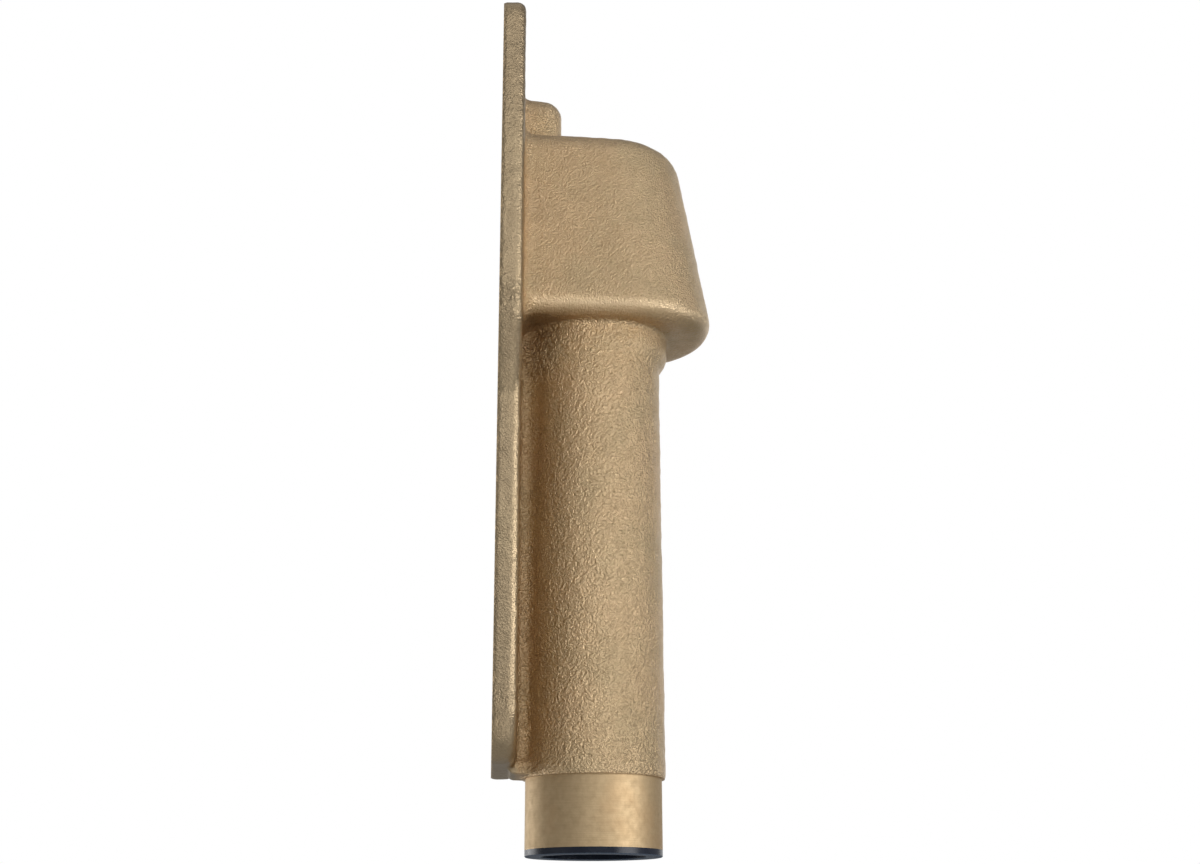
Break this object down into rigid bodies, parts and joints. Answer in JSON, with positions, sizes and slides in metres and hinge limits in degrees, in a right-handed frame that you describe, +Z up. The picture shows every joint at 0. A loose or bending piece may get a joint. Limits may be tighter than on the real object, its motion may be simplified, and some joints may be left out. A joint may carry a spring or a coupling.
{
  "type": "rudder tube",
  "caption": "Cast bronze rudder tube with a transom plate, a leaning hood open at the back for the tiller arm, and plain plastic bushes for an upright rudder stock.",
  "frame": {"origin": "centre of the stock bore, in the bottom face of the lower bush", "axes": "+Z up along the rudder stock, +X aft away from the transom, +Y to port; the plate's back face looks along -X"},
  "size_m": [0.0872, 0.13, 0.3279],
  "materials": {
    "cast_bronze": "sand cast, with a satin machined spigot",
    "black_plastic": "smooth satin",
    "seal_rubber": "matte"
  },
  "bodies": {
    "root": {"tube_casting": "cast_bronze", "lower_bush": "black_plastic", "upper_bush": "black_plastic", "seal_ring": "seal_rubber"}
  },
  "joints": []
}
